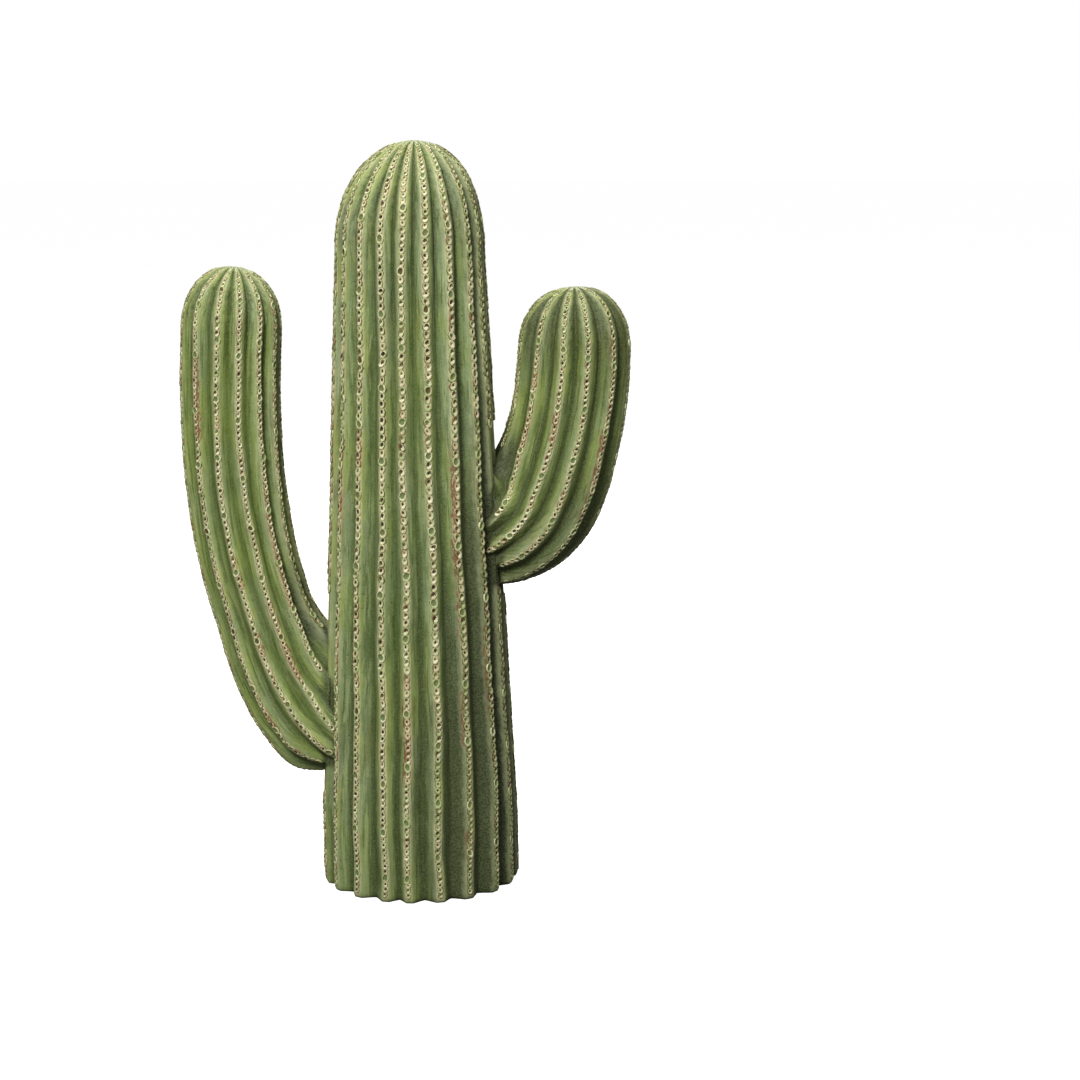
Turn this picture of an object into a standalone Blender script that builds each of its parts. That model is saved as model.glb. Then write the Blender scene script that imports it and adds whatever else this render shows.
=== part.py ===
"""A cast resin garden cactus: a ribbed trunk that stands on its own flat foot, with a long arm
on its left and a short arm on its right. Each arm bends up beside the trunk, so it is made
as an elbow, which meets the trunk, and an upright above it. Metres, +Z up; the origin is the
centre of the trunk's flat underside."""

import math

import bmesh
import bpy
import numpy as np
from mathutils import Matrix, Vector
from mathutils.geometry import interpolate_bezier

# Trunk
HEIGHT = 0.550
FOOT_RADIUS = 0.0738          # over the crests, at the ground
SWELL_RADIUS = 0.0733         # over the crests, at the swell just above the foot
SWELL_HEIGHT = 0.055
SHOULDER_RADIUS = 0.0545      # over the crests, where the dome starts
SHOULDER_HEIGHT = 0.470
DOME_POWER = 2.22             # 2 is an ellipse, more is squarer
LEAN = 0.0096                 # metres to the left for each metre up
CROWN_SHIFT = 0.0043          # how far the pole comes back to the right
TRUNK_RIBS = 20
TRUNK_FRONT_RIBS = (-59.0, -39.0, -19.5, -4.0, 14.0, 33.0, 53.5, 71.0)
TRUNK_RIB_DEPTH = 0.0080
TRUNK_RINGS = 18
TRUNK_DOME_RINGS = 10

# Arms. Points are (distance out from the trunk's axis, height). Angles are in degrees: lean
# is from the vertical, and swing turns the arm towards the back.
LEFT_ARM = {
    "side": -1,
    "swing": 8.0,
    "root": (0.0339, 0.0998),
    "root_handle": (0.0922, 0.1096),
    "elbow": (0.1195, 0.2026),
    "elbow_lean": 18.6,
    "handle_before": 0.0342,
    "handle_after": 0.0675,
    "tip_handle": (0.1471, 0.3474),
    "tip": (0.1362, 0.4582),
    "root_radius": 0.0436,
    "elbow_radius": 0.0371,
    "shoulder_radius": 0.0372,
    "dome": 0.0456,
    "dome_power": 2.17,
    "ribs": 13,
    "front_ribs": (-76.0, -51.0, -25.0, 1.0, 28.0, 61.0, 90.0),
    "root_twist": 17.0,
    "twist_length": 0.075,
    "split_height": 0.232,
    "elbow_rings": 12,
    "upright_rings": 7,
    "dome_rings": 8,
}
RIGHT_ARM = {
    "side": 1,
    "swing": 8.0,
    "root": (0.0314, 0.2579),
    "root_handle": (0.0842, 0.2616),
    "elbow": (0.1032, 0.3128),
    "elbow_lean": 14.4,
    "handle_before": 0.0340,
    "handle_after": 0.0214,
    "tip_handle": (0.1200, 0.3696),
    "tip": (0.1164, 0.4436),
    "root_radius": 0.0400,
    "elbow_radius": 0.0434,
    "shoulder_radius": 0.0421,
    "dome": 0.0505,
    "dome_power": 2.36,
    "ribs": 12,
    "front_ribs": (-50.0, -20.5, 5.5, 35.5, 70.0),
    "root_twist": 32.0,
    "twist_length": 0.075,
    "split_height": 0.350,
    "elbow_rings": 12,
    "upright_rings": 3,
    "dome_rings": 8,
}
ARM_RIB_DEPTH = 0.0062
TWIST_POWER = 1.5             # how quickly the twist at an arm's root dies away
BEZIER_STEPS = 60
TANGENT_STEP = 0.001

# One rib's outline, from one crest to the next: the share of the way, and the share of the
# rib's depth that the surface has dropped there
RIB_OUTLINE = ((0.12, 0.0), (0.29, 0.38), (0.50, 1.0), (0.71, 0.38), (0.88, 0.0))
DEEPEST_SHARE = 0.30          # near a pole a rib is never deeper than this share of the radius

GAP = 0.0003                  # between an arm's elbow and its upright
CLEARANCE = 0.00055           # radial, between the trunk and the elbows

PAINT = (0.17, 0.26, 0.075)
PAINT_ROUGHNESS = 0.62
SHARP_ANGLE = 40.0


def clear_scene():
    for item in list(bpy.data.objects):
        bpy.data.objects.remove(item, do_unlink=True)


def new_collection(name):
    collection = bpy.data.collections.new(name)
    bpy.context.scene.collection.children.link(collection)
    return collection


def paint(name):
    material = bpy.data.materials.new(name + "_paint")
    material.use_nodes = True
    shader = material.node_tree.nodes["Principled BSDF"]
    shader.inputs["Base Color"].default_value = (*PAINT, 1.0)
    shader.inputs["Roughness"].default_value = PAINT_ROUGHNESS
    shader.inputs["Metallic"].default_value = 0.0
    material.diffuse_color = (*PAINT, 1.0)
    return material


def spread_ribs(front, count):
    """All the crests' bearings: those named at the front, the rest shared out evenly."""
    step = (front[0] + 360.0 - front[-1]) / (count - len(front) + 1)
    behind = [front[-1] + step * (i + 1) for i in range(count - len(front))]
    return list(front) + behind


def rib_section(crests):
    """The section's corners as (bearing in radians, share of the rib depth dropped)."""
    corners = []
    for i, crest in enumerate(crests):
        following = crests[i + 1] if i + 1 < len(crests) else crests[0] + 360.0
        for along, drop in RIB_OUTLINE:
            corners.append((math.radians(crest + along * (following - crest)), drop))
    return corners


def dome_share(climb, power):
    """The dome's radius as a share of its shoulder's, at a share of its height."""
    return max(0.0, 1.0 - climb ** power) ** (1.0 / power)


def ring_of(centre, facing, outward, radius, rib_depth, section, twist=0.0):
    """The corners of one ring. A bearing of 0 looks along facing, and 90 along outward."""
    depth = min(rib_depth, DEEPEST_SHARE * radius)
    points = []
    for bearing, drop in section:
        reach = radius - depth * drop
        turned = bearing + twist
        points.append(centre + facing * (reach * math.cos(turned))
                      + outward * (reach * math.sin(turned)))
    return points


def stem(name, rings, collection, domed):
    """A closed solid through the rings: a cylinder is cut into as many rings, and each of its
    corners is moved to its place. A domed stem ends in a pole at its last ring."""
    around = len(rings[0])
    last = len(rings) - 1
    mesh_edit = bmesh.new()
    bmesh.ops.create_cone(mesh_edit, cap_ends=True, segments=around, radius1=1.0, radius2=1.0,
                          depth=last, matrix=Matrix.Translation((0.0, 0.0, last / 2.0)))
    sides = [edge for edge in mesh_edit.edges
             if abs(edge.verts[0].co.z - edge.verts[1].co.z) > 0.5]
    bmesh.ops.subdivide_edges(mesh_edit, edges=sides, cuts=last - 1)
    top = []
    for vert in mesh_edit.verts:
        level = round(vert.co.z)
        corner = round(math.atan2(vert.co.y, vert.co.x) / math.tau * around) % around
        if level == last:
            top.append(vert)
        vert.co = rings[level][corner]
    if domed:
        bmesh.ops.pointmerge(mesh_edit, verts=top, merge_co=rings[last][0])
    bmesh.ops.recalc_face_normals(mesh_edit, faces=mesh_edit.faces)
    mesh = bpy.data.meshes.new(name)
    mesh_edit.to_mesh(mesh)
    mesh_edit.free()
    mesh.shade_smooth()
    mesh.set_sharp_from_angle(angle=math.radians(SHARP_ANGLE))
    made = bpy.data.objects.new(name, mesh)
    collection.objects.link(made)
    return made


def trunk_rings(section, swell):
    """The trunk's rings, each level and larger by swell."""
    levels = [0.0] + list(np.linspace(SWELL_HEIGHT, SHOULDER_HEIGHT,
                                      TRUNK_RINGS - TRUNK_DOME_RINGS))
    dome = HEIGHT + swell - SHOULDER_HEIGHT
    climbs = [math.sin(math.pi / 2 * (i + 1) / TRUNK_DOME_RINGS)
              for i in range(TRUNK_DOME_RINGS)]
    levels += [SHOULDER_HEIGHT + dome * climb for climb in climbs]
    rings = []
    for height in levels:
        side = np.interp(height, (0.0, SWELL_HEIGHT, SHOULDER_HEIGHT),
                         (FOOT_RADIUS, SWELL_RADIUS, SHOULDER_RADIUS))
        climb = min(1.0, max(0.0, (height - SHOULDER_HEIGHT) / dome))
        radius = (side + swell) * dome_share(climb, DOME_POWER)
        centre = Vector((-LEAN * height + CROWN_SHIFT * climb ** 2, 0.0, height))
        rings.append(ring_of(centre, Vector((0, -1, 0)), Vector((1, 0, 0)), radius,
                             TRUNK_RIB_DEPTH, section))
    return rings


def centreline(arm):
    """The arm's centreline in its own upright plane: points and their distances along it."""
    lean = math.radians(arm["elbow_lean"])
    along = Vector((math.sin(lean), math.cos(lean)))
    elbow = Vector(arm["elbow"])
    lower = interpolate_bezier(Vector(arm["root"]), Vector(arm["root_handle"]),
                               elbow - along * arm["handle_before"], elbow, BEZIER_STEPS)
    upper = interpolate_bezier(elbow, elbow + along * arm["handle_after"],
                               Vector(arm["tip_handle"]), Vector(arm["tip"]), BEZIER_STEPS)
    flat = np.array([tuple(point) for point in lower + upper[1:]])
    steps = np.linalg.norm(np.diff(flat, axis=0), axis=1)
    return flat, np.concatenate(([0.0], np.cumsum(steps)))


def arm_rings(arm, section, distances, flat, run):
    """The arm's rings at the given distances along its centreline, square to it."""
    def at(place):
        reach = float(np.interp(place, run, flat[:, 0]))
        height = float(np.interp(place, run, flat[:, 1]))
        return out * reach + Vector((0.0, 0.0, height))

    swing = math.radians(arm["swing"])
    out = Vector((arm["side"] * math.cos(swing), math.sin(swing), 0.0))
    facing = Vector((arm["side"] * math.sin(swing), -math.cos(swing), 0.0))
    length = run[-1]
    shoulder = length - arm["dome"]
    elbow_at = run[BEZIER_STEPS - 1]
    rings = []
    for distance in distances:
        ahead = at(min(length, distance + TANGENT_STEP)) - at(max(0.0, distance - TANGENT_STEP))
        outward = facing.cross(ahead).normalized() * -arm["side"]
        side = np.interp(distance, (0.0, elbow_at, shoulder),
                         (arm["root_radius"], arm["elbow_radius"], arm["shoulder_radius"]))
        climb = min(1.0, max(0.0, (distance - shoulder) / arm["dome"]))
        radius = float(side) * dome_share(climb, arm["dome_power"])
        near_root = max(0.0, 1.0 - distance / arm["twist_length"])
        twist = math.radians(arm["root_twist"]) * near_root ** TWIST_POWER
        rings.append(ring_of(at(distance), facing, outward, radius, ARM_RIB_DEPTH, section,
                             twist))
    return rings


def build_arm(name, arm, collection, cutter):
    section = rib_section(spread_ribs(arm["front_ribs"], arm["ribs"]))
    flat, run = centreline(arm)
    length = run[-1]
    split = float(np.interp(arm["split_height"], flat[:, 1], run))
    shoulder = length - arm["dome"]
    lower = np.linspace(0.0, split - GAP / 2, arm["elbow_rings"])
    upper = list(np.linspace(split + GAP / 2, shoulder, arm["upright_rings"]))
    for i in range(arm["dome_rings"]):
        climb = math.sin(math.pi / 2 * (i + 1) / arm["dome_rings"])
        upper.append(shoulder + arm["dome"] * climb)
    elbow = stem(name + "_elbow", arm_rings(arm, section, lower, flat, run), collection, False)
    cut = elbow.modifiers.new("clear_of_trunk", "BOOLEAN")
    cut.operation = "DIFFERENCE"
    cut.object = cutter
    upright = stem(name + "_upright", arm_rings(arm, section, upper, flat, run), collection,
                   True)
    return elbow, upright


def build_cactus():
    parts = new_collection("resin_cactus")
    cutters = new_collection("cutters")
    section = rib_section(spread_ribs(TRUNK_FRONT_RIBS, TRUNK_RIBS))
    trunk = stem("trunk", trunk_rings(section, 0.0), parts, True)
    cutter = stem("trunk_clearance", trunk_rings(section, CLEARANCE), cutters, True)
    cutter.hide_render = True
    cutter.display_type = "WIRE"
    left = build_arm("left_arm", LEFT_ARM, parts, cutter)
    right = build_arm("right_arm", RIGHT_ARM, parts, cutter)
    for piece in (trunk, *left, *right):
        piece.data.materials.append(paint(piece.name))


clear_scene()
build_cactus()
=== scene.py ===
import math

import bpy
import numpy as np
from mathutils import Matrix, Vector
from mathutils.geometry import interpolate_bezier


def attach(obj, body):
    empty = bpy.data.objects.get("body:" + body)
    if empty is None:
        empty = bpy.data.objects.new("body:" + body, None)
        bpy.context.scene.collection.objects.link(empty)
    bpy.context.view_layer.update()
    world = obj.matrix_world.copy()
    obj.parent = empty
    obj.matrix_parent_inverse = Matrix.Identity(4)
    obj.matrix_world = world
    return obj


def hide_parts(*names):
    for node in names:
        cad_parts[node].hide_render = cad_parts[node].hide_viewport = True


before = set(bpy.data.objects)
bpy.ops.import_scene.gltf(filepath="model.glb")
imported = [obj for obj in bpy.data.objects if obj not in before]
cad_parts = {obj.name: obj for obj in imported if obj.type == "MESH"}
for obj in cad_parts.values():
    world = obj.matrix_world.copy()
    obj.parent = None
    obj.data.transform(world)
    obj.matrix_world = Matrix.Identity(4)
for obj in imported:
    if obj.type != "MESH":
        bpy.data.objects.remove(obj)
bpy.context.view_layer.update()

# A cast resin cactus, painted by hand: green with dark grooves, partly a dark wash and partly
# painted shade, and along every crest a chain of little rings pressed into the casting. Metres, with
# the trunk's foot at the origin.

trunkShape = {
    "height": 0.550,
    "footRadius": 0.0738,  # the radii are over the crests
    "swellRadius": 0.0733,
    "swellHeight": 0.055,
    "shoulderRadius": 0.0545,
    "shoulderHeight": 0.470,
    "dome": 0.080,
    "domePower": 2.16,
    "lean": 0.0096,
    "crownShift": 0.0043,
    "ribs": 20,
    "frontRibs": (-57.0, -37.7, -19.0, -4.0, 14.0, 33.0, 53.5, 71.0),
    "ribDepth": 0.0080,
    "crestLow": 0.085,  # how far the skin lies under the rings, as a share of the rib's depth
    "bandStep": 0.045,
    "crestWander": 1.1,  # degrees
    "rowPitch": 0.00235,
    "footRise": 0.0022,  # how high the foot's rounded edge reaches
    "footInset": 0.018,
    "footRows": (0.0, 0.35, 0.7, 0.92),  # the underside's rings, as shares of the foot
    "sideShade": 1.00,  # how much more painted shade lies on the sides than in front
    "moreShade": 0.0,  # painted shade that lies on all of it
    # Layers of painted shade: darker towards the foot, and most of all low on the right side
    "shadeLayers": (  # (how much, all of it below this height, none above this one, and how
        (0.40, 0.03, 0.28, 0), (1.75, 0.14, 0.47, 3),  # narrowly it keeps to the right side)
    ),
    "rustMarks": (  # (rib, from this height, to this height, how much)
        (0, 0.275, 0.300, 1.2), (1, 0.272, 0.292, 0.9), (1, 0.318, 0.335, 0.9),
        (3, 0.090, 0.170, 1.3), (3, 0.262, 0.330, 0.7), (5, 0.035, 0.052, 2.0),
        (5, 0.112, 0.155, 1.7), (5, 0.196, 0.290, 1.6), (5, 0.290, 0.355, 0.8),
        (6, 0.100, 0.200, 1.2),
    ),
    "boldRings": (0.35, 0.75, 0.95, 0.15, 0.45, 0.25, 0.65, 0.60),  # how deep, on each front rib
    "bareSpans": (  # (rib, from this height, to this height) with no rings, beside the arms
        (19, 0.110, 0.222), (18, 0.110, 0.222), (7, 0.228, 0.346), (8, 0.228, 0.346),
    ),
    "seed": 11,
    "ringSeed": 101,
}

leftArmShape = {
    "side": -1,
    "swing": 8.0,
    "root": (0.0339, 0.0998),  # points are (out from the trunk's axis, height)
    "rootHandle": (0.0922, 0.1096),
    "elbow": (0.1195, 0.2026),
    "elbowLean": 18.6,
    "handleBefore": 0.0342,
    "handleAfter": 0.0675,
    "tipHandle": (0.1471, 0.3474),
    "tip": (0.1362, 0.4582),
    "rootRadius": 0.0450,
    "elbowRadius": 0.0371,
    "shoulderRadius": 0.0372,
    "dome": 0.0456,
    "domePower": 2.17,
    "ribs": 13,
    "frontRibs": (-76.0, -51.0, -25.0, 1.0, 28.0, 61.0, 90.0),
    "ribDepth": 0.0062,
    "rootTwist": 17.0,
    "twistLength": 0.075,
    "crestLow": 0.10,
    "bandStep": 0.05,
    "crestWander": 1.4,
    "rowPitch": 0.0019,
    "webRise": 0.0240,  # how far from the trunk the web starts to spread
    "webSpread": 0.0600,
    "crotchLow": 0.176,  # above this height the side next to the trunk is painted nearly black, as painted shade
    "crotchShade": 5.4,
    "crotchReach": 0.042,
    "tuckRise": 0.030,  # how far from the trunk the arm starts to narrow
    "tuckPower": 1.2,
    "tuckFront": 0.0030,
    "tuckUnder": 0.0260,
    "rootRows": (0.0, 0.5),  # the rings that close its root, as shares of its width there
    # Painted shade on the arm's sides
    "sideShade": 0.50,
    "moreShade": 0.0,
    "shadeLayers": (),
    "rustMarks": (
        (1, 0.190, 0.300, 1.3), (2, 0.150, 0.215, 1.1), (3, 0.150, 0.190, 1.2),
        (3, 0.225, 0.245, 1.2), (4, 0.335, 0.395, 1.7), (4, 0.130, 0.160, 1.3),
    ),
    "boldRings": (0.4, 0.8, 0.7, 0.5, 0.6, 0.4, 0.4),
    "bareSpans": (),
    "bareGap": 0.0045,  # the rings stop this far from the trunk
    "seed": 23,
    "ringSeed": 201,
}

rightArmShape = {
    "side": 1,
    "swing": 8.0,
    "root": (0.0314, 0.2579),
    "rootHandle": (0.0842, 0.2616),
    "elbow": (0.1032, 0.3128),
    "elbowLean": 14.4,
    "handleBefore": 0.0340,
    "handleAfter": 0.0214,
    "tipHandle": (0.1200, 0.3696),
    "tip": (0.1164, 0.4436),
    "rootRadius": 0.0400,
    "elbowRadius": 0.0434,
    "shoulderRadius": 0.0421,
    "dome": 0.0505,
    "domePower": 2.36,
    "ribs": 12,
    "frontRibs": (-50.0, -20.5, 5.5, 35.5, 70.0),
    "ribDepth": 0.0062,
    "rootTwist": 44.0,
    "twistLength": 0.075,
    "crestLow": 0.10,
    "bandStep": 0.05,
    "crestWander": 1.4,
    "rowPitch": 0.0019,
    "webRise": 0.0200,
    "webSpread": 0.0450,
    # Painted shade on the side next to the trunk, darkest above crotchLow
    "crotchLow": 0.306,
    "crotchShade": 2.4,
    "crotchReach": 0.020,
    "tuckRise": 0.024,
    "tuckPower": 1.8,
    "tuckFront": 0.0090,
    "tuckUnder": 0.0010,
    "rootRows": (0.0, 0.5),
    # Painted shade: on the sides, a little all over, and more on the arm's lower part, most of all
    # on its right side
    "sideShade": 0.50,
    "moreShade": 0.34,
    "shadeLayers": ((0.35, 0.30, 0.42, 3), (0.45, 0.27, 0.36, 0)),
    "rustMarks": (
        (0, 0.300, 0.345, 1.0), (0, 0.370, 0.420, 1.0), (1, 0.328, 0.352, 1.0),
        (3, 0.288, 0.345, 1.8), (3, 0.385, 0.412, 1.6), (4, 0.300, 0.400, 0.5),
    ),
    "boldRings": (0.4, 0.85, 0.95, 0.9, 0.5),
    "bareSpans": (),
    "bareGap": 0.0046,
    "seed": 37,
    "ringSeed": 251,
}

ribCut = {
    "sides": (0.0, 0.060, 0.115, 0.150, 0.19, 0.24, 0.30, 0.37, 0.435, 0.5),  # crest to valley
    "bandInner": 0.115,
    "bandOuter": 0.150,
    "leastGap": 0.0115,  # crest to crest, as the paint follows it near a pole
    "hollow": 0.45,  # how far a flank is from a plane, on the straight stem
    "sharpPower": 2.0,  # the flank's bulge at a pole, over a V-shaped valley
    "sharpReach": 2.5,  # how far down from the pole it starts, in lengths of the dome
    "deepest": 0.32,  # of the radius, near a pole
    "domeFade": 0.7,  # of that reach, until the grooves have their pole's shape
    "twistPower": 1.5,  # how fast the twist at an arm's root fades
}

courseSteps = {
    "stem": 400,
    "trunkDome": 240,
    "armDome": 200,
    "curve": 60,  # points on each half of an arm's curve
    "look": 0.002,  # metres before and after a point, to find which way the arm runs there
}

unevenness = {  # lengths in metres along the stem
    "wanderLength": 0.30,
    "varyLength": 0.16,
    "depthVary": 0.05,
    "deepestDrop": 1.06,  # of the rib's depth
    "moods": {"rust": 0.13, "cool": 0.21, "fresh": 0.17},
    "moodSpan": 0.7,
    "lessRust": 0.30,
    "markFade": 0.006,
}


def drift(rng, along, longest):
    total = np.zeros(len(along))
    for share in (1.0, 0.43, 0.21):
        phase = rng.uniform(0.0, math.tau)
        total += math.sqrt(share) * np.sin(along * math.tau / (longest * share) + phase)
    return total / 1.6  # mostly within -1 and 1


def drifts(rng, along, longest, count):
    return np.stack([drift(rng, along, longest) for _ in range(count)], 1)


def smoothStep(low, high, value):
    share = np.clip((value - low) / (high - low), 0.0, 1.0)
    return share * share * (3.0 - 2.0 * share)


def domeShare(climb, power):
    return np.maximum(0.0, 1.0 - climb ** power) ** (1.0 / power)


def crestBearings(shape):
    front = list(shape["frontRibs"])
    behind = shape["ribs"] - len(front)
    step = (front[0] + 360.0 - front[-1]) / (behind + 1)
    return np.array(front + [front[-1] + step * (i + 1) for i in range(behind)])


def runOf(radius, travel):
    steps = np.hypot(np.diff(radius), np.diff(travel))
    return np.concatenate(([0.0], np.cumsum(steps)))


def trunkCourse(shape):
    dome = shape["dome"]
    climbs = np.sin(np.linspace(0.0, math.pi / 2, courseSteps["trunkDome"]))[1:]
    stem = np.linspace(0.0, shape["shoulderHeight"], courseSteps["stem"])
    heights = np.concatenate((stem, shape["shoulderHeight"] + dome * climbs))
    climb = np.clip((heights - shape["shoulderHeight"]) / dome, 0.0, 1.0)
    radius = np.interp(heights, (0.0, shape["swellHeight"], shape["shoulderHeight"]),
                       (shape["footRadius"], shape["swellRadius"], shape["shoulderRadius"]))
    radius = radius * domeShare(climb, shape["domePower"])
    across = -shape["lean"] * heights + shape["crownShift"] * climb ** 2
    centre = np.stack((across, np.zeros_like(heights), heights), 1)
    return {
        "centre": centre,
        "facing": np.tile((0.0, -1.0, 0.0), (len(heights), 1)),
        "outward": np.tile((1.0, 0.0, 0.0), (len(heights), 1)),
        "radius": radius,
        "twist": np.zeros_like(heights),
        "run": runOf(radius, heights),
    }


def armCourse(shape):
    lean = math.radians(shape["elbowLean"])
    rise = Vector((math.sin(lean), math.cos(lean)))
    elbow = Vector(shape["elbow"])
    lower = interpolate_bezier(Vector(shape["root"]), Vector(shape["rootHandle"]),
                               elbow - rise * shape["handleBefore"], elbow,
                               courseSteps["curve"])
    upper = interpolate_bezier(elbow, elbow + rise * shape["handleAfter"],
                               Vector(shape["tipHandle"]), Vector(shape["tip"]),
                               courseSteps["curve"])
    flat = np.array([tuple(point) for point in lower + upper[1:]])
    reached = runOf(flat[:, 0], flat[:, 1])
    length = reached[-1]
    shoulder = length - shape["dome"]
    climbs = np.sin(np.linspace(0.0, math.pi / 2, courseSteps["armDome"]))[1:]
    stem = np.linspace(0.0, shoulder, courseSteps["stem"])
    travel = np.concatenate((stem, shoulder + shape["dome"] * climbs))
    swing = math.radians(shape["swing"])
    out = np.array((shape["side"] * math.cos(swing), math.sin(swing), 0.0))
    facing = np.array((shape["side"] * math.sin(swing), -math.cos(swing), 0.0))

    def at(places):
        reach = np.interp(places, reached, flat[:, 0])
        height = np.interp(places, reached, flat[:, 1])
        return out * reach[:, None] + np.array((0.0, 0.0, 1.0)) * height[:, None]

    look = courseSteps["look"]
    ahead = at(np.minimum(length, travel + look)) - at(np.maximum(0.0, travel - look))
    outward = np.cross(facing, ahead) * -shape["side"]
    outward /= np.linalg.norm(outward, axis=1)[:, None]
    climb = np.clip((travel - shoulder) / shape["dome"], 0.0, 1.0)
    radius = np.interp(travel, (0.0, reached[courseSteps["curve"] - 1], shoulder),
                       (shape["rootRadius"], shape["elbowRadius"], shape["shoulderRadius"]))
    radius = radius * domeShare(climb, shape["domePower"])
    nearRoot = np.maximum(0.0, 1.0 - travel / shape["twistLength"])
    return {
        "centre": at(travel),
        "facing": np.tile(facing, (len(travel), 1)),
        "outward": outward,
        "radius": radius,
        "twist": shape["rootTwist"] * nearRoot ** ribCut["twistPower"],
        "run": runOf(radius, travel),
    }


def atRun(course, runs):
    found = {}
    for name, values in course.items():
        if values.ndim == 2:
            parts = [np.interp(runs, course["run"], values[:, i]) for i in range(3)]
            found[name] = np.stack(parts, 1)
        else:
            found[name] = np.interp(runs, course["run"], values)
    return found


def ribColumns(shape):
    # Every column of the skin as (rib, share of the way to the next crest). The first and the
    # last lie in the same valley at the back, where the sheet is closed.
    bearings = crestBearings(shape)
    ribs = len(bearings)
    following = np.append(bearings[1:], bearings[0] + 360.0)
    valleys = (bearings + following) / 2.0
    last = int(np.argmin(np.abs(valleys - 180.0)))
    steps = ribCut["sides"]
    shares = [-step for step in reversed(steps)][:-1] + list(steps[:-1])
    columns = []
    for i in range(ribs):
        rib = (last + 1 + i) % ribs
        columns += [(rib, share) for share in shares]
    columns.append((last, 0.5))
    rib, share = np.array(columns).T
    return rib.astype(int), share


def dropAt(share, sharpness, shape):
    away = np.abs(share)
    step = smoothStep(ribCut["bandInner"], ribCut["bandOuter"], away)
    down = np.clip((away - ribCut["bandOuter"]) / (0.5 - ribCut["bandOuter"]), 0.0, 1.0)
    soft = down + (np.sin(math.pi / 2 * down) - down) * ribCut["hollow"]
    sharp = down ** ribCut["sharpPower"]
    left = 1.0 - shape["crestLow"] - shape["bandStep"]
    flank = soft + (sharp - soft) * sharpness
    return shape["crestLow"] + shape["bandStep"] * step + left * flank


def layOut(shape, course, endShares):
    # The whole skin as a grid of points, a row for each ring and a column for each bearing. Its
    # first rows close the end that it stands or grows on.
    rng = np.random.default_rng(shape["seed"])
    full = course["run"][-1]
    body = np.linspace(0.0, full, int(round(full / shape["rowPitch"])) + 1)
    runs = np.concatenate((np.zeros(len(endShares)), body))
    shares = np.concatenate((np.array(endShares), np.ones(len(body))))
    at = atRun(course, runs)
    base = crestBearings(shape)
    wander = drifts(rng, runs, unevenness["wanderLength"], len(base)) * shape["crestWander"]
    crest = base[None, :] + wander
    before = np.roll(crest, 1, axis=1)
    before[:, 0] -= 360.0
    after = np.roll(crest, -1, axis=1)
    after[:, -1] += 360.0
    rib, share = ribColumns(shape)
    middle = crest[:, rib]
    gap = np.where(share < 0.0, middle - before[:, rib], after[:, rib] - middle)
    bearing = middle + share * gap
    turned = np.radians(bearing + at["twist"][:, None])
    top = 1.0 - (full - runs) / (ribCut["sharpReach"] * shape["dome"])
    sharpness = smoothStep(0.0, ribCut["domeFade"], top)
    depth = np.minimum(shape["ribDepth"], ribCut["deepest"] * at["radius"])
    vary = drifts(rng, runs, unevenness["varyLength"], len(base))[:, rib]
    vary = 1.0 + unevenness["depthVary"] * vary
    drop = dropAt(share[None, :], sharpness[:, None], shape)
    cut = np.minimum(unevenness["deepestDrop"], drop * vary)
    reach = (at["radius"][:, None] - depth[:, None] * cut) * shares[:, None]
    toward = (at["facing"][:, None, :] * np.cos(turned)[:, :, None]
              + at["outward"][:, None, :] * np.sin(turned)[:, :, None])
    sheet = {
        "firstRow": len(endShares),
        "runs": runs,
        "rows": at,
        "rib": rib,
        "share": share,
        "toward": toward,
        "reach": reach,
        "points": at["centre"][:, None, :] + toward * reach[:, :, None],
        "crestGap": np.abs(share)[None, :] * np.maximum(
            np.radians(gap) * at["radius"][:, None], ribCut["leastGap"]),
        "ribHeight": 1.0 - (drop - shape["crestLow"]) / (1.0 - shape["crestLow"]),
        "ribSide": np.tile(shape.get("side", 1) * np.sin(math.tau * share), (len(runs), 1)),
    }
    across = np.linspace(0.0, 1.0, len(rib))
    upward = np.linspace(0.0, 1.0, len(runs))
    sheet["unrolled"] = np.stack(np.meshgrid(across, upward), -1)
    moods = {}
    for name, longest in unevenness["moods"].items():
        moods[name] = unevenness["moodSpan"] * drifts(rng, runs, longest, len(base))
    moods["rust"] -= unevenness["lessRust"]
    fade = unevenness["markFade"]
    for marked, low, high, strength in shape["rustMarks"]:
        above = smoothStep(low - fade, low + fade, at["centre"][:, 2])
        below = 1.0 - smoothStep(high - fade, high + fade, at["centre"][:, 2])
        moods["rust"][:, marked] += strength * above * below
    sheet["moods"] = moods
    sheet["dusk"] = duskOver(shape, at, sharpness, bearing)
    sheet["seam"] = np.zeros_like(reach)
    sheet["bareSpans"] = shape["bareSpans"]
    sheet["closed"] = shares
    straight = at["radius"][:, None]
    sheet["grain"] = np.stack((straight * np.sin(turned), -straight * np.cos(turned),
                               np.tile(runs[:, None], (1, len(rib)))), -1)
    return sheet


# How much painted shade, with some dark wash in the grooves, lies on the skin by where it is
shadeAndWashAmounts = {
    "base": 0.30,
    "onDome": 0.90,
    "onSides": 0.72,
    "sideBalance": 0.50,  # more on the right side, and as much less on the left one
    "sidePower": 4,
    "domeSides": 0.5,  # how much of the sides' painted shade is missing on the dome
    "darkestBearing": 75.0,  # degrees right of the front, for the layers
}


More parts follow.
